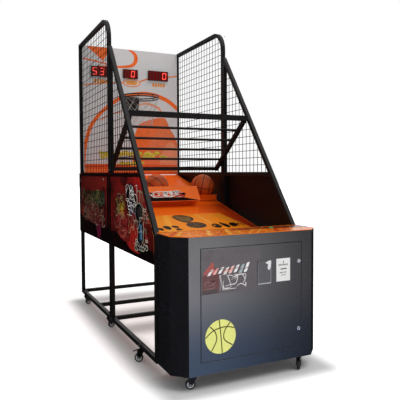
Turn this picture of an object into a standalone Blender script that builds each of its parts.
"""Street basketball arcade machine: two bolted steel cage modules, ramp, hoop, cabinet and casters.

Metres, +Z up. The origin is on the floor, at the centre of the machine's footprint.
The player stands at -Y and throws towards +Y, where the backboard is. +X is to the right.
"""
import math

import bmesh
import bpy
from mathutils import Matrix, Vector
from mathutils.geometry import tessellate_polygon

# ---------------------------------------------------------------- overall sizes
LENGTH = 2.319              # cabinet front to the back of the rear posts
FRAME_HALF = 0.510          # outer face of the side frames
CASTER_HEIGHT = 0.090       # floor to the underside of the rails
CAGE_HEIGHT = 2.353         # rails' underside to the top of the rear posts
FIT = 0.0003                # gap between faces that touch in the real machine

# ---------------------------------------------------------------- steel tube
TUBE = 0.030                # square tube, outside
BRACE_TUBE = 0.040          # height of the front crossbar's tube
WALL = 0.0015               # tube and cabinet sheet wall

# ---------------------------------------------------------------- stations behind the cabinet front
FRONT_POST = 0.277          # front face of the front posts, and back of the cabinet
SEAM = 1.289                # where the two modules bolt together
MIDDLE_RAIL = 1.703         # front face of the middle floor rail
BRACE_Y = 0.881             # centre of the front crossbar

# ---------------------------------------------------------------- heights above the rails' underside
PANEL_LOW = 0.594           # lower edge of the printed side panels
PANEL_HIGH = 1.144          # upper edge of the printed side panels
CABINET_HEIGHT = 0.791      # top of the control deck
FRONT_CAGE_TOP = 2.115      # flat top of the front module's rear post
BRACE_HEIGHT = 1.564        # centre of the front crossbar
RAKE = math.radians(53.45)  # the raked front tube, from the horizontal
RAKE_FOOT = (0.286, 0.786)  # a point on its front edge: station, height
BEND_RADIUS = 0.170         # outside of the bend at the top of the rear module

# ---------------------------------------------------------------- ramp
RAMP_SLOPE = math.radians(14.08)
RAMP_POINT = (1.491, 0.926)     # a point on the ramp's surface: station, height
RAMP_SHEET = 0.002
RAMP_FLANGE = 0.025
RAMP_END_GAP = 0.002            # to the cabinet's back wall
RAMP_BACK = 2.270               # station of its upper end

# ---------------------------------------------------------------- backboard, displays and hoop
BOARD_THICK = 0.012
BOARD_LOW = 1.125
BOARD_TOP_DROP = 0.005          # below the rear posts' top
DISPLAY_DEPTH = 0.020
DISPLAYS = {                    # centre x, centre height, width, height
    "display_left": (-0.330, 2.111, 0.153, 0.096),
    "display_centre": (-0.018, 2.110, 0.147, 0.086),
    "display_right": (0.270, 2.112, 0.209, 0.094),
}
HOOP_HEIGHT = 1.855
HOOP_RADIUS = 0.175             # ring centre line
HOOP_ROD = 0.006                # radius of each of the ring's two rods
HOOP_RISE = 0.020               # height between the two rods
HOOP_TIES = 8
TIE_RADIUS = 0.004
HOOP_STAND_OFF = 0.237          # ring centre to the board's face
HOOP_PLATE = (0.140, 0.100, 0.004)
NET_DROP = 0.270
NET_MOUTH = 0.112               # clear radius at the net's lower end
NET_THICK = 0.002
SENSOR = (0.100, 0.045, 0.036)

# ---------------------------------------------------------------- ball guard
GUARD_BAR = (1.372, 1.178)      # centre of its lower bar: station, height
RUNG_COUNT = 4
RUNG_RADIUS = 0.0095
RUNG_FIRST = 1.480              # height of the highest rung
RUNG_PITCH = 0.0745             # height between rungs

# ---------------------------------------------------------------- ball gate and balls, in the ramp's axes
GATE_SHAFT = (-0.102, 0.009)    # from RAMP_POINT along the ramp, and above it
GATE_SHAFT_RADIUS = 0.005
GATE_FLAP = (0.003, 0.045)      # thickness, height above the shaft
GATE_SIDE_GAP = 0.005           # flap to the housing
HOUSING_HALF = 0.240
HOUSING_BACK = -0.085
HOUSING_FRONT = -0.195
HOUSING_HEIGHT = 0.110
SIGN_LOW = (-0.2614, 0.0553)    # lower edge of the sloped sign
SIGN_HIGH = (-0.159, 0.1513)    # upper edge
SHEET = 0.002
MOTOR_HALF = 0.035
MOTOR_HEIGHT = 0.055
BALL_RADIUS = 0.1035
BALL_WALL = 0.003
VALVE_RADIUS = 0.004
BALL_RIGHT_X = 0.372
BALL_LEFT_X = -0.050

# ---------------------------------------------------------------- cabinet and door
CABINET_HALF = 0.500
CHAMFER = 0.081
DECK = 0.003
OPENING = (0.3455, 0.070, 0.721)    # half width, low and high edge above the rails' underside
DOOR_GAP = 0.0025
DOOR_DEPTH = 0.0175
STOP_GAP = 0.0025
STOP_LIP = 0.012
HINGE_RADIUS = 0.002
LOCKS = {"lock_upper": (0.322, 0.601), "lock_lower": (0.322, 0.183)}
LOCK_BARREL = 0.008
LOCK_HEAD = (0.012, 0.004)          # radius, proud of the door
CAM = (0.030, 0.014, 0.002)
CARD = (0.2085, 0.557, 0.099, 0.138, 0.001)
NOTICE = (0.0735, 0.553, 0.095, 0.140, 0.003)
BUTTON = (0.235, 0.174, 0.012)      # x, station, radius
BUTTON_PROUD = 0.008
BUTTON_GAP = 0.0005

# ---------------------------------------------------------------- side panels and wire mesh
PANEL_SHEET = 0.0015
WIRE = 0.004
WIRE_PITCH = 0.165                  # every third wire of the real 55 mm mesh
SMALLEST_HOLE = 0.0004              # m2: smaller corners of the mesh are left solid

# ---------------------------------------------------------------- casters
WHEEL_RADIUS = 0.029
WHEEL_WIDTH = 0.022
AXLE_RADIUS = 0.004
BORE_RADIUS = 0.0045
TRAIL = 0.022
FORK_THICK = 0.0025
FORK_CLEAR = 0.002
HEAD_RADIUS = 0.018
HEAD_HEIGHT = 0.010
STEM_RADIUS = 0.004
STEM_HOLE = 0.005
STEM_PROUD = 0.008
RAIL_X = FRAME_HALF - TUBE / 2
CASTERS = {                         # x, station, and the direction it trails in, in degrees from +X
    "front_left": (-0.365, 0.052, 160.0),
    "front_right": (0.365, 0.052, 230.0),
    "fore_left": (-RAIL_X, 0.580, 150.0),
    "fore_right": (RAIL_X, 0.580, 30.0),
    "middle_left": (-RAIL_X, 1.390, 15.0),
    "middle_right": (RAIL_X, 1.390, 165.0),
    "rear_left": (-RAIL_X, 2.190, 20.0),
    "rear_right": (RAIL_X, 2.190, 160.0),
}

# ---------------------------------------------------------------- worked out from the sizes above
PROUD = LOCK_HEAD[1] + FIT
FRONT = -(LENGTH + PROUD) / 2 + PROUD       # the cabinet's front face
BACK = FRONT + LENGTH
FRAME_INNER = FRAME_HALF - TUBE
SPAN_HALF = FRAME_INNER - FIT               # half length of what spans between the side frames
CAGE_TOP = CASTER_HEIGHT + CAGE_HEIGHT
BOARD_FACE = BACK - TUBE - FIT - BOARD_THICK

MATERIALS = {                               # colour, roughness, metallic
    "frame_black": ((0.012, 0.012, 0.013), 0.40, 0.0),
    "cabinet_black": ((0.020, 0.021, 0.026), 0.30, 0.0),
    "panel_print": ((0.23, 0.01, 0.008), 0.35, 0.0),
    "board_white": ((0.60, 0.60, 0.60), 0.30, 0.0),
    "ramp_orange": ((0.72, 0.12, 0.01), 0.35, 0.0),
    "deck_orange": ((0.75, 0.20, 0.02), 0.25, 0.0),
    "display_red": ((0.25, 0.01, 0.01), 0.20, 0.0),
    "hoop_steel": ((0.02, 0.018, 0.017), 0.35, 0.0),
    "net_white": ((0.80, 0.80, 0.78), 0.80, 0.0),
    "zinc_steel": ((0.55, 0.55, 0.55), 0.35, 1.0),
    "black_plastic": ((0.015, 0.015, 0.015), 0.45, 0.0),
    "ball_rubber": ((0.42, 0.09, 0.025), 0.60, 0.0),
    "card_white": ((0.85, 0.85, 0.83), 0.40, 0.0),
    "clear_acrylic": ((0.80, 0.82, 0.84), 0.08, 0.0),
    "button_green": ((0.05, 0.35, 0.06), 0.25, 0.0),
    "tyre_black": ((0.012, 0.012, 0.012), 0.70, 0.0),
}


# ================================================================ helpers
def station(distance):
    """World y of a distance behind the cabinet's front face."""
    return FRONT + distance


def height(above_rails):
    """World z of a height above the rails' underside."""
    return CASTER_HEIGHT + above_rails


def material(name):
    made = bpy.data.materials.get(name)
    if made is None:
        colour, roughness, metallic = MATERIALS[name]
        made = bpy.data.materials.new(name)
        made.use_nodes = True
        shader = made.node_tree.nodes["Principled BSDF"]
        shader.inputs["Base Color"].default_value = (*colour, 1.0)
        shader.inputs["Roughness"].default_value = roughness
        shader.inputs["Metallic"].default_value = metallic
    return made


def add_object(name, mesh, material_name, parent=None, smooth=False):
    made = bpy.data.objects.new(name, mesh)
    bpy.context.scene.collection.objects.link(made)
    made.parent = parent
    if not mesh.materials:
        mesh.materials.append(material(material_name))
    if smooth:
        mesh.shade_smooth()
        mesh.set_sharp_from_angle(angle=math.radians(35))
    return made


def add_empty(name, location, parent=None):
    """A pivot that carries the pieces turning or sliding with it."""
    made = bpy.data.objects.new(name, None)
    bpy.context.scene.collection.objects.link(made)
    made.parent = parent
    made.location = location
    return made


def as_mesh(name, shape):
    """Turn a bmesh into a mesh and free it."""
    mesh = bpy.data.meshes.new(name)
    shape.to_mesh(mesh)
    shape.free()
    return mesh


def add_shape(name, shape, material_name, parent=None, smooth=False):
    return add_object(name, as_mesh(name, shape), material_name, parent, smooth)


def add_tool(owner, shape, operation):
    """Cut a shape out of an object, or weld one to it, with a Boolean modifier."""
    count = len(owner.modifiers)
    tool = add_shape(f"{owner.name}_tool{count}", shape, "frame_black", owner.parent)
    tool.hide_render = True
    tool.display_type = "WIRE"
    modifier = owner.modifiers.new(f"{operation.lower()}_{count}", "BOOLEAN")
    modifier.operation = operation
    modifier.solver = "EXACT"
    modifier.object = tool


def cut(owner, shape):
    add_tool(owner, shape, "DIFFERENCE")


def weld(owner, shape):
    add_tool(owner, shape, "UNION")


def prism(outline, low, high, axis, holes=()):
    """A flat outline with holes, extruded along an axis; its points are in the other two, in order."""
    place = {
        "x": lambda a, b, c: (c, a, b),
        "y": lambda a, b, c: (a, c, b),
        "z": lambda a, b, c: (a, b, c),
    }[axis]
    loops = [list(outline), *[list(hole) for hole in holes]]
    shape = bmesh.new()
    levels = []
    for level in (low, high):
        levels.append([[shape.verts.new(place(a, b, level)) for a, b in loop] for loop in loops])
    for near, far in zip(*levels):
        for i in range(len(near)):
            shape.faces.new((near[i - 1], near[i], far[i], far[i - 1]))
    triangles = tessellate_polygon([[Vector((a, b, 0.0)) for a, b in loop] for loop in loops])
    for rings in levels:
        corners = [vert for ring in rings for vert in ring]
        for triangle in triangles:
            shape.faces.new([corners[i] for i in triangle])
    bmesh.ops.recalc_face_normals(shape, faces=shape.faces)
    return shape


def box(x, y, z):
    """A box from its low and high limits on each axis."""
    return prism(rectangle(x, y), z[0], z[1], "z")


def rectangle(a, b):
    return [(a[0], b[0]), (a[1], b[0]), (a[1], b[1]), (a[0], b[1])]


def circle(centre, radius, segments=24):
    angles = [2 * math.pi * i / segments for i in range(segments)]
    return [(centre[0] + radius * math.cos(a), centre[1] + radius * math.sin(a)) for a in angles]


def offset(outline, distance):
    """The outline moved outwards by a distance with mitred corners; it runs anticlockwise."""
    moved = []
    for i, point in enumerate(outline):
        before = Vector(point) - Vector(outline[i - 1])
        after = Vector(outline[(i + 1) % len(outline)]) - Vector(point)
        first = Vector((before.y, -before.x)).normalized()
        second = Vector((after.y, -after.x)).normalized()
        step = (first + second) * distance / (1 + first.dot(second))
        moved.append((point[0] + step.x, point[1] + step.y))
    return moved


def bent_sheet(points, thickness):
    """The outline of a sheet whose one face follows the points; the thickness lies to their right."""
    line = [Vector(point) for point in points]
    moved = []
    for i, point in enumerate(line):
        before = line[i] - line[i - 1] if i else line[1] - line[0]
        after = line[i + 1] - line[i] if i + 1 < len(line) else before
        first = Vector((before.y, -before.x)).normalized()
        second = Vector((after.y, -after.x)).normalized()
        step = (first + second) * thickness / (1 + first.dot(second))
        moved.append((point.x + step.x, point.y + step.y))
    return [tuple(point) for point in line] + moved[::-1]


def turned(profile, segments, axis="z"):
    """A closed profile of (radius, level) points turned about an axis through the origin."""
    place = {"x": lambda a, b, c: (c, a, b), "z": lambda a, b, c: (a, b, c)}[axis]
    shape = bmesh.new()
    rings = []
    for i in range(segments):
        angle = 2 * math.pi * i / segments
        rings.append([
            shape.verts.new(place(radius * math.cos(angle), radius * math.sin(angle), level))
            for radius, level in profile
        ])
    for i, ring in enumerate(rings):
        last = rings[i - 1]
        for j in range(len(profile)):
            shape.faces.new((last[j - 1], last[j], ring[j], ring[j - 1]))
    bmesh.ops.recalc_face_normals(shape, faces=shape.faces)
    return shape


def clip(outline, point, normal):
    """The part of a convex outline on the side of a line that its normal points away from."""
    kept = []
    for i, here in enumerate(outline):
        last = outline[i - 1]
        d_last = (last[0] - point[0]) * normal[0] + (last[1] - point[1]) * normal[1]
        d_here = (here[0] - point[0]) * normal[0] + (here[1] - point[1]) * normal[1]
        if (d_last > 0) != (d_here > 0):
            share = d_last / (d_last - d_here)
            kept.append((last[0] + share * (here[0] - last[0]), last[1] + share * (here[1] - last[1])))
        if d_here <= 0:
            kept.append(here)
    return kept


def area(outline):
    return sum(a[0] * b[1] - b[0] * a[1] for a, b in zip(outline, [*outline[1:], outline[0]])) / 2


# ================================================================ side frames
def rake_height(distance, inset=0.0):
    """World z of the raked tube's front edge, or of a line inset into the tube, at a station."""
    foot, foot_height = RAKE_FOOT
    return height(foot_height + (distance - foot) * math.tan(RAKE)) - inset / math.cos(RAKE)


def rake_station(level, inset=0.0):
    """The station at which the same line reaches a world z."""
    return RAKE_FOOT[0] + (level + inset / math.cos(RAKE) - height(RAKE_FOOT[1])) / math.tan(RAKE)


def rear_frame_outlines():
    """The rear module's side frame: outline, then floor, panel and mesh windows, as (y, z)."""
    front, back = station(SEAM), BACK
    arc = [math.pi / 2 + math.pi / 2 * i / 8 for i in range(9)]

    def bend(inset):
        centre = (front + BEND_RADIUS, CAGE_TOP - BEND_RADIUS)
        radius = BEND_RADIUS - inset
        return [(centre[0] + radius * math.cos(a), centre[1] + radius * math.sin(a)) for a in arc]

    outline = [(front, height(0)), (back, height(0)), (back, CAGE_TOP), *bend(0.0)]
    sides = (front + TUBE, back - TUBE)
    low = rectangle(sides, (height(TUBE), height(PANEL_LOW)))
    middle = rectangle(sides, (height(PANEL_LOW + TUBE), height(PANEL_HIGH - TUBE)))
    sill = height(PANEL_HIGH)
    high = [(sides[0], sill), (sides[1], sill), (sides[1], CAGE_TOP - TUBE), *bend(TUBE)]
    return outline, [low, middle, high]


def front_frame_outlines():
    """The front module's side frame, with its raked tube: outline, then the same three windows."""
    front, back = station(FRONT_POST), station(SEAM) - FIT
    top = height(FRONT_CAGE_TOP)
    outline = [
        (front, height(0)),
        (back, height(0)),
        (back, top),
        (station(rake_station(top)), top),
        (front, rake_height(FRONT_POST)),
    ]
    sides = (front + TUBE, back - TUBE)
    low = rectangle(sides, (height(TUBE), height(PANEL_LOW)))
    floor, ceiling = height(PANEL_LOW + TUBE), height(PANEL_HIGH - TUBE)
    middle = [
        (sides[0], floor),
        (sides[1], floor),
        (sides[1], ceiling),
        (station(rake_station(ceiling, TUBE)), ceiling),
        (sides[0], rake_height(FRONT_POST + TUBE, TUBE)),
    ]
    sill = height(PANEL_HIGH)
    high = [
        (station(rake_station(sill, TUBE)), sill),
        (sides[1], sill),
        (sides[1], rake_height(sides[1] - FRONT, TUBE)),
    ]
    return outline, [low, middle, high]


def stem_hole(caster, low, high):
    """The hole for a caster's stem, between two world heights."""
    x, distance, _ = CASTERS[caster]
    return prism(circle((x, station(distance)), STEM_HOLE, 12), low, high, "z")


def add_side_frame(name, outlines, side, casters):
    """A welded loop of square tube: its bore is open at the caster stems' holes."""
    outline, windows = outlines
    inner, outer = sorted((side * FRAME_INNER, side * FRAME_HALF))
    frame = add_shape(name, prism(outline, inner, outer, "x", windows), "frame_black")
    bore_windows = [offset(window, WALL) for window in windows]
    cut(frame, prism(offset(outline, -WALL), inner + WALL, outer - WALL, "x", bore_windows))
    for caster in casters:
        cut(frame, stem_hole(caster, height(-WALL), height(TUBE + WALL)))


def add_side_frames():
    for hand, side in (("left", -1), ("right", 1)):
        stems = [f"middle_{hand}", f"rear_{hand}"]
        add_side_frame(f"rear_frame_{hand}", rear_frame_outlines(), side, stems)
        add_side_frame(f"front_frame_{hand}", front_frame_outlines(), side, [f"fore_{hand}"])


# ================================================================ crossbars
def add_crossbar(name, centre_y, centre_z, tall=TUBE):
    """A straight tube, open at its ends, between the two side frames."""
    y = (centre_y - TUBE / 2, centre_y + TUBE / 2)
    z = (centre_z - tall / 2, centre_z + tall / 2)
    outside = rectangle(y, z)
    add_shape(name, prism(outside, -SPAN_HALF, SPAN_HALF, "x", [offset(outside, -WALL)]), "frame_black")


def add_crossbars():
    back = BACK - TUBE / 2
    floor = height(TUBE / 2)
    add_crossbar("front_crossbar", station(BRACE_Y), height(BRACE_HEIGHT), BRACE_TUBE)
    add_crossbar("board_crossbar_top", back, CAGE_TOP - BOARD_TOP_DROP - TUBE / 2)
    add_crossbar("board_crossbar_hoop", back, height(HOOP_HEIGHT))
    add_crossbar("board_crossbar_low", back, height(BOARD_LOW + TUBE / 2))
    add_crossbar("floor_rail_rear", back, floor)
    add_crossbar("floor_rail_middle", station(MIDDLE_RAIL) + TUBE / 2, floor)
    add_crossbar("floor_rail_fore", station(SEAM) - FIT - TUBE / 2, floor)


# ================================================================ printed side panels and wire mesh
def add_panels():
    """Printed steel sheets on the outside of the frames."""
    low, high = height(PANEL_LOW), height(PANEL_HIGH)
    rear = rectangle((station(SEAM), BACK), (low, high))
    _, windows = front_frame_outlines()
    edge, foot = windows[1][3], windows[1][4]
    front = [
        (foot[0], low),
        (station(SEAM) - FIT, low),
        (station(SEAM) - FIT, high),
        (edge[0] + TUBE / math.tan(RAKE), high),
        foot,
    ]
    for hand, side in (("left", -1), ("right", 1)):
        inner = side * (FRAME_HALF + FIT)
        outer = side * (FRAME_HALF + FIT + PANEL_SHEET)
        for module, outline in (("rear", rear), ("front", front)):
            shape = prism(outline, min(inner, outer), max(inner, outer), "x")
            add_shape(f"{module}_panel_{hand}", shape, "panel_print")


def mesh_holes(outline):
    """The square holes of a wire mesh inside a convex outline, clipped to its slanted and bent edges."""
    border = offset(outline, -WIRE)
    low = [min(point[i] for point in border) for i in (0, 1)]
    high = [max(point[i] for point in border) for i in (0, 1)]
    holes = []
    for column in range(int((high[0] - low[0]) / WIRE_PITCH) + 1):
        for row in range(int((high[1] - low[1]) / WIRE_PITCH) + 1):
            left = high[0] - (column + 1) * WIRE_PITCH + WIRE
            bottom = low[1] + row * WIRE_PITCH
            hole = rectangle((left, left + WIRE_PITCH - WIRE), (bottom, bottom + WIRE_PITCH - WIRE))
            for i, point in enumerate(border):
                along = Vector(point) - Vector(border[i - 1])
                hole = clip(hole, point, (along.y, -along.x))
            if len(hole) > 2 and area(hole) > SMALLEST_HOLE:
                holes.append(hole)
    return holes


def add_meshes():
    """Welded wire mesh inside the upper windows of the side frames."""
    for module, outlines in (("rear", rear_frame_outlines()), ("front", front_frame_outlines())):
        outline = offset(outlines[1][2], -FIT)
        holes = mesh_holes(outline)
        for hand, side in (("left", -1), ("right", 1)):
            centre = side * (FRAME_HALF - TUBE / 2)
            shape = prism(outline, centre - WIRE / 2, centre + WIRE / 2, "x", holes)
            add_shape(f"{module}_mesh_{hand}", shape, "frame_black")


# ================================================================ ball guard
def guard_station(level):
    """World y of the guard's sloped centre line at a world z."""
    bar_y, bar_z = station(GUARD_BAR[0]), height(GUARD_BAR[1])
    rise = (height(BRACE_HEIGHT) - bar_z) / (station(BRACE_Y) - bar_y)
    return bar_y + (level - bar_z) / rise


def guard_strut(inset, start, end):
    """The outline of one sloped strut, or of its bore, between two stations."""
    slope = math.atan2(BRACE_HEIGHT - GUARD_BAR[1], GUARD_BAR[0] - BRACE_Y)
    half = (TUBE / 2 - inset) / math.cos(slope)

    def level(y):
        return height(GUARD_BAR[1]) + (station(GUARD_BAR[0]) - y) * math.tan(slope)

    return [
        (start, level(start) - half),
        (end, level(end) - half),
        (end, level(end) + half),
        (start, level(start) + half),
    ]


def add_guard():
    """A welded ladder behind the front crossbar: two struts, four rungs and a lower bar."""
    bar_y, bar_z = station(GUARD_BAR[0]), height(GUARD_BAR[1])
    bar = rectangle((bar_y - TUBE / 2, bar_y + TUBE / 2), (bar_z - TUBE / 2, bar_z + TUBE / 2))
    guard = add_shape("ball_guard", prism(bar, -SPAN_HALF, SPAN_HALF, "x"), "frame_black")
    start = station(BRACE_Y) + TUBE / 2 + FIT
    for side in (-1, 1):
        inner, outer = sorted((side * (SPAN_HALF - TUBE), side * SPAN_HALF))
        weld(guard, prism(guard_strut(0.0, start, bar_y), inner, outer, "x"))
    for i in range(RUNG_COUNT):
        level = height(RUNG_FIRST - i * RUNG_PITCH)
        rung = circle((guard_station(level), level), RUNG_RADIUS, 12)
        weld(guard, prism(rung, -SPAN_HALF + TUBE / 2, SPAN_HALF - TUBE / 2, "x"))
    cut(guard, prism(offset(bar, -WALL), -FRAME_HALF, FRAME_HALF, "x"))
    for side in (-1, 1):
        inner, outer = sorted((side * (SPAN_HALF - TUBE + WALL), side * (SPAN_HALF - WALL)))
        cut(guard, prism(guard_strut(WALL, start - TUBE, bar_y - TUBE / 4), inner, outer, "x"))


# ================================================================ backboard, displays and hoop
def add_backboard():
    top = CAGE_TOP - BOARD_TOP_DROP
    add_shape(
        "backboard",
        box((-SPAN_HALF, SPAN_HALF), (BOARD_FACE, BOARD_FACE + BOARD_THICK), (height(BOARD_LOW), top)),
        "board_white",
    )
    face = BOARD_FACE - FIT
    for name, (x, above_rails, width, tall) in DISPLAYS.items():
        z = height(above_rails)
        sides = (x - width / 2, x + width / 2)
        shape = box(sides, (face - DISPLAY_DEPTH, face), (z - tall / 2, z + tall / 2))
        add_shape(name, shape, "display_red")


def add_hoop():
    """A ring of two rods, its neck, gussets and plate are one weldment; net and sensor hang below."""
    centre_y = BOARD_FACE - HOOP_STAND_OFF
    centre_z = height(HOOP_HEIGHT)
    half = HOOP_RISE / 2
    place = Matrix.Translation((0, centre_y, centre_z))
    upper_rod = turned(circle((HOOP_RADIUS, half), HOOP_ROD, 10), 36)
    lower_rod = turned(circle((HOOP_RADIUS, -half), HOOP_ROD, 10), 36)
    upper_rod.transform(place)
    lower_rod.transform(place)
    hoop = add_shape("hoop", upper_rod, "hoop_steel")
    weld(hoop, lower_rod)
    for i in range(HOOP_TIES):
        angle = 2 * math.pi * (i + 0.5) / HOOP_TIES
        x, y = HOOP_RADIUS * math.cos(angle), centre_y + HOOP_RADIUS * math.sin(angle)
        weld(hoop, prism(circle((x, y), TIE_RADIUS, 8), centre_z - half, centre_z + half, "z"))
    width, tall, thick = HOOP_PLATE
    face = BOARD_FACE - FIT
    neck_start = centre_y + HOOP_RADIUS
    neck = (centre_z - half, centre_z + half)
    weld(hoop, box((-width / 3, width / 3), (neck_start, face - thick / 2), neck))
    plate = (centre_z - tall * 0.65, centre_z + tall * 0.35)
    weld(hoop, box((-width / 2, width / 2), (face - thick, face), plate))
    root = face - thick / 2
    tip = neck_start + 2 * HOOP_ROD
    gusset = [(root, centre_z - tall * 0.6), (root, centre_z), (tip, centre_z), (tip, centre_z - half)]
    for side in (-1, 1):
        inner, outer = sorted((side * (width / 3 - thick), side * (width / 3 - thick / 4)))
        weld(hoop, prism(gusset, inner, outer, "x"))

    top = -half - HOOP_ROD - FIT
    mouth = NET_MOUTH + NET_THICK
    levels = [i / 5 for i in range(6)]
    outer = [(mouth + (HOOP_RADIUS - mouth) * (1 - t) ** 1.6, top - NET_DROP * t) for t in levels]
    inner = [(radius - NET_THICK, level) for radius, level in outer]
    net_mesh = turned(outer + inner[::-1], 24)
    net_mesh.transform(Matrix.Translation((0, centre_y, centre_z)))
    add_shape("net", net_mesh, "net_white")

    wide, deep, high = SENSOR
    sensor_top = centre_z - tall * 0.65 - FIT
    shape = box((-wide / 2, wide / 2), (face - deep, face), (sensor_top - high, sensor_top))
    add_shape("score_sensor", shape, "black_plastic")


# ================================================================ ramp, ball gate and balls
def ramp_frame():
    """An empty on the ramp's surface: its Y runs up the ramp and its Z stands on it."""
    frame = add_empty("ramp_frame", (0, station(RAMP_POINT[0]), height(RAMP_POINT[1])))
    frame.rotation_euler.x = RAMP_SLOPE
    return frame


def along_ramp(distance):
    """Place along the ramp of a station on its surface."""
    return (distance - RAMP_POINT[0]) / math.cos(RAMP_SLOPE)


def add_ramps(frame):
    """Folded steel channels, one in each module, with their flanges against the side frames."""
    half = SPAN_HALF
    inside = half - RAMP_SHEET
    section = [(half, 0), (half, -RAMP_FLANGE), (inside, -RAMP_FLANGE), (inside, -RAMP_SHEET)]
    section += [(-x, z) for x, z in section[::-1]]
    lower = (along_ramp(FRONT_POST + RAMP_END_GAP), along_ramp(SEAM) - FIT)
    upper = (along_ramp(SEAM), along_ramp(RAMP_BACK))
    add_shape("ramp_lower", prism(section, *lower, "y"), "ramp_orange", frame)
    add_shape("ramp_upper", prism(section, *upper, "y"), "ramp_orange", frame)


def add_gate(frame):
    """A housing in the middle of the ramp, its sign, the drive motor and the two-flap gate shaft."""
    shaft_u, shaft_w = GATE_SHAFT
    half = HOUSING_HALF - 2 * SHEET
    housing = add_shape(
        "gate_housing",
        box((-half, half), (HOUSING_FRONT, HOUSING_BACK), (FIT, HOUSING_HEIGHT)),
        "black_plastic",
        frame,
    )
    inside = (HOUSING_FRONT + SHEET, HOUSING_BACK - SHEET)
    cut(housing, box((-half + SHEET, half - SHEET), inside, (-SHEET, HOUSING_HEIGHT - SHEET)))
    notch = GATE_SHAFT_RADIUS + 2 * FIT
    slot = box((-FRAME_HALF, FRAME_HALF), (shaft_u - notch, shaft_u + notch), (-SHEET, shaft_w + notch))
    cut(housing, slot)

    seat = HOUSING_HEIGHT + FIT + SHEET
    line = [SIGN_LOW, SIGN_HIGH, (SIGN_HIGH[0], seat), (HOUSING_BACK - 2 * SHEET, seat)]
    sign = prism(bent_sheet(line, SHEET), -HOUSING_HALF, HOUSING_HALF, "x")
    add_shape("gate_sign", sign, "ramp_orange", frame)

    motor_y = (HOUSING_FRONT + 5 * SHEET, shaft_u - GATE_SHAFT_RADIUS - FIT)
    motor = box((-MOTOR_HALF, MOTOR_HALF), motor_y, (FIT, MOTOR_HEIGHT))
    add_shape("gate_motor", motor, "zinc_steel", frame)

    pivot = add_empty("gate_pivot", (0, shaft_u, shaft_w), frame)
    reach = SPAN_HALF - GATE_SIDE_GAP
    shaft = circle((0, 0), GATE_SHAFT_RADIUS, 12)
    gate = add_shape("ball_gate", prism(shaft, -reach, reach, "x"), "zinc_steel", pivot)
    thick, tall = GATE_FLAP
    for side in (-1, 1):
        inner, outer = sorted((side * (HOUSING_HALF + GATE_SIDE_GAP), side * (reach - GATE_SIDE_GAP)))
        weld(gate, box((inner, outer), (-thick / 2, thick / 2), (0, tall)))


def sphere(centre, radius, around, rings):
    shape = bmesh.new()
    place = Matrix.Translation(centre)
    bmesh.ops.create_uvsphere(shape, u_segments=around, v_segments=rings, radius=radius, matrix=place)
    return shape


def add_balls(frame):
    """Two balls wait behind the gate: one against a flap, one against the housing."""
    flap_top = GATE_SHAFT[1] + GATE_FLAP[1]
    reach = math.sqrt(BALL_RADIUS ** 2 - (BALL_RADIUS - flap_top) ** 2)
    above = max(BALL_RADIUS - HOUSING_HEIGHT, 0.0)
    places = {
        "ball_right": (BALL_RIGHT_X, GATE_SHAFT[0] + GATE_FLAP[0] / 2 + reach + 2 * FIT),
        "ball_left": (BALL_LEFT_X, HOUSING_BACK + math.sqrt(BALL_RADIUS ** 2 - above ** 2) + FIT),
    }
    for name, (x, u) in places.items():
        centre = (x, u, BALL_RADIUS + FIT)
        ball = add_shape(name, sphere(centre, BALL_RADIUS, 24, 16), "ball_rubber", frame, smooth=True)
        cut(ball, sphere(centre, BALL_RADIUS - BALL_WALL, 16, 10))
        valve = circle((x, centre[2]), VALVE_RADIUS, 8)
        cut(ball, prism(valve, u + BALL_RADIUS / 2, u + 2 * BALL_RADIUS, "y"))


# ================================================================ cabinet
def cabinet_outline(inset=0.0):
    """The cabinet in plan, with its two cut front corners."""
    half, back = CABINET_HALF, station(FRONT_POST) - FIT
    outline = [
        (-half, FRONT + CHAMFER),
        (-half + CHAMFER, FRONT),
        (half - CHAMFER, FRONT),
        (half, FRONT + CHAMFER),
        (half, back),
        (-half, back),
    ]
    return offset(outline, -inset)


def opening_outline(inset=0.0):
    half, low, high = OPENING
    return rectangle((-half + inset, half - inset), (height(low) + inset, height(high) - inset))


def add_cabinet():
    """A folded sheet cabinet, open at the top, with a flanged door opening and a stop lip."""
    top = height(CABINET_HEIGHT) - DECK - FIT
    cabinet = add_shape("cabinet", prism(cabinet_outline(), height(0), top, "z"), "cabinet_black")
    cut(cabinet, prism(cabinet_outline(WALL), height(WALL), top + WALL, "z"))
    cut(cabinet, prism(opening_outline(), FRONT - WALL, FRONT + 2 * WALL, "y"))
    stop = FRONT + DOOR_DEPTH + STOP_GAP
    flange = opening_outline(-WALL)
    weld(cabinet, prism(flange, FRONT + WALL / 2, stop + WALL / 2, "y", [opening_outline()]))
    weld(cabinet, prism(flange, stop, stop + WALL, "y", [opening_outline(STOP_LIP)]))
    for caster in ("front_left", "front_right"):
        cut(cabinet, stem_hole(caster, height(-WALL), height(2 * WALL)))


def add_deck():
    """The printed top plate and its sprung start button."""
    top = height(CABINET_HEIGHT)
    x, distance, radius = BUTTON
    centre = (x, station(distance))
    hole = circle(centre, radius + BUTTON_GAP, 24)
    add_shape("control_deck", prism(cabinet_outline(), top - DECK, top, "z", [hole]), "deck_orange")
    button = circle((0, 0), radius, 24)
    shape = prism(button, -2 * BUTTON_PROUD, BUTTON_PROUD, "z")
    start = add_shape("start_button", shape, "button_green", smooth=True)
    start.location = (*centre, top)


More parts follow.
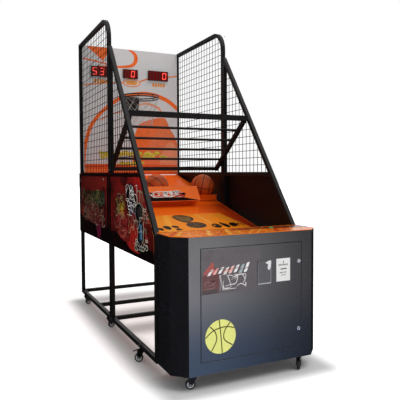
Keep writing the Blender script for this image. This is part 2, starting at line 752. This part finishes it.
def add_door():
    """A folded door tray on a piano hinge at its left, with a card, a notice plate and two cam locks."""
    hinge_x = -OPENING[0] + DOOR_GAP / 2
    hinge_y = FRONT - HINGE_RADIUS - FIT
    low, high = height(OPENING[1]) + DOOR_GAP, height(OPENING[2]) - DOOR_GAP
    half = OPENING[0] - DOOR_GAP
    hinge_pin = circle((0, 0), HINGE_RADIUS, 12)
    hinge = add_shape("door_hinge", prism(hinge_pin, low, high, "z"), "cabinet_black")
    hinge.location = (hinge_x, hinge_y, 0)

    pivot = add_empty("door_pivot", (hinge_x, hinge_y, 0))

    def local(shape):
        shape.transform(Matrix.Translation((-hinge_x, -hinge_y, 0)))
        return shape

    slab = box((-half, half), (FRONT, FRONT + DOOR_DEPTH), (low, high))
    door = add_shape("door", local(slab), "cabinet_black", pivot)
    hollow = box(
        (-half + WALL, half - WALL),
        (FRONT + WALL, FRONT + 2 * DOOR_DEPTH),
        (low + WALL, high - WALL),
    )
    cut(door, local(hollow))
    for x, above_rails in LOCKS.values():
        hole = circle((x, height(above_rails)), LOCK_BARREL + BUTTON_GAP, 16)
        cut(door, local(prism(hole, FRONT - WALL, FRONT + 2 * WALL, "y")))

    plates = (("price_card", CARD, "card_white"), ("notice_plate", NOTICE, "clear_acrylic"))
    for name, (x, above_rails, width, tall, thick), slot in plates:
        z = height(above_rails)
        sides = (x - width / 2, x + width / 2)
        shape = box(sides, (FRONT - FIT - thick, FRONT - FIT), (z - tall / 2, z + tall / 2))
        add_shape(name, local(shape), slot, pivot)

    stop = FRONT + DOOR_DEPTH + STOP_GAP + WALL
    for name, (x, above_rails) in LOCKS.items():
        turn = add_empty(f"{name}_pivot", (x - hinge_x, FRONT - hinge_y, height(above_rails)), pivot)
        head_radius, proud = LOCK_HEAD
        head = circle((0, 0), head_radius, 20)
        lock = add_shape(name, prism(head, -proud - FIT, -FIT, "y"), "zinc_steel", turn)
        back = stop - FRONT + STOP_GAP / 2
        weld(lock, prism(circle((0, 0), LOCK_BARREL, 16), -proud / 2, back + CAM[2] / 2, "y"))
        reach, wide, thick = CAM
        weld(lock, box((-wide / 2, wide / 2), (back, back + thick), (-reach, wide / 2)))


# ================================================================ casters
def fork_mesh():
    """One swivel fork with its stem, axle and brake pedal, about the swivel axis at floor level."""
    top = CASTER_HEIGHT - FIT
    plate = top - HEAD_HEIGHT
    half = WHEEL_WIDTH / 2 + FORK_CLEAR + FORK_THICK
    fork = add_shape("fork_pattern", prism(circle((0, 0), HEAD_RADIUS, 20), plate, top, "z"), "zinc_steel")
    weld(fork, prism(circle((0, 0), STEM_RADIUS, 12), top - HEAD_HEIGHT / 2, height(TUBE + STEM_PROUD), "z"))
    back = TRAIL + WHEEL_RADIUS / 3
    weld(fork, box((-half, half), (-HEAD_RADIUS, back), (plate - FORK_THICK, plate + FORK_THICK / 2)))
    cheek = [
        (-HEAD_RADIUS, plate),
        (TRAIL - 2 * AXLE_RADIUS, WHEEL_RADIUS - 2 * AXLE_RADIUS),
        (back, WHEEL_RADIUS - 2 * AXLE_RADIUS),
        (back, plate),
    ]
    for side in (-1, 1):
        inner, outer = sorted((side * (half - FORK_THICK), side * half))
        weld(fork, prism(cheek, inner, outer, "x"))
    axle = circle((TRAIL, WHEEL_RADIUS), AXLE_RADIUS, 12)
    weld(fork, prism(axle, -half - FORK_THICK / 2, half + FORK_THICK / 2, "x"))
    reach = back + WHEEL_RADIUS
    line = [(back - FORK_THICK, plate), (back + FORK_THICK, plate), (reach, plate - HEAD_HEIGHT)]
    weld(fork, prism(bent_sheet(line, FORK_THICK), -WHEEL_WIDTH / 2, WHEEL_WIDTH / 2, "x"))
    bpy.context.view_layer.update()
    evaluated = fork.evaluated_get(bpy.context.evaluated_depsgraph_get())
    mesh = bpy.data.meshes.new_from_object(evaluated)
    mesh.name = "caster_fork"
    for tool in [modifier.object for modifier in fork.modifiers]:
        bpy.data.objects.remove(tool)
    bpy.data.objects.remove(fork)
    return mesh


def wheel_mesh():
    half = WHEEL_WIDTH / 2
    edge = WHEEL_WIDTH / 8
    side = [(BORE_RADIUS, half), (WHEEL_RADIUS - edge, half), (WHEEL_RADIUS, half - edge)]
    profile = side + [(radius, -level) for radius, level in side[::-1]]
    mesh = as_mesh("caster_wheel", turned(profile, 24, "x"))
    return mesh


def add_casters():
    fork, wheel = fork_mesh(), wheel_mesh()
    for name, (x, distance, direction) in CASTERS.items():
        swivel = add_empty(f"{name}_swivel", (x, station(distance), 0))
        swivel.rotation_euler.z = math.radians(direction - 90)
        add_object(f"caster_{name}", fork, "zinc_steel", swivel)
        tyre = add_object(f"wheel_{name}", wheel, "tyre_black", swivel, smooth=True)
        tyre.location = (0, TRAIL, WHEEL_RADIUS)


# ================================================================ build
def main():
    for old in list(bpy.data.objects):
        bpy.data.objects.remove(old)
    add_side_frames()
    add_crossbars()
    add_panels()
    add_meshes()
    add_guard()
    add_backboard()
    add_hoop()
    frame = ramp_frame()
    add_ramps(frame)
    add_gate(frame)
    add_balls(frame)
    add_cabinet()
    add_deck()
    add_door()
    add_casters()


main()
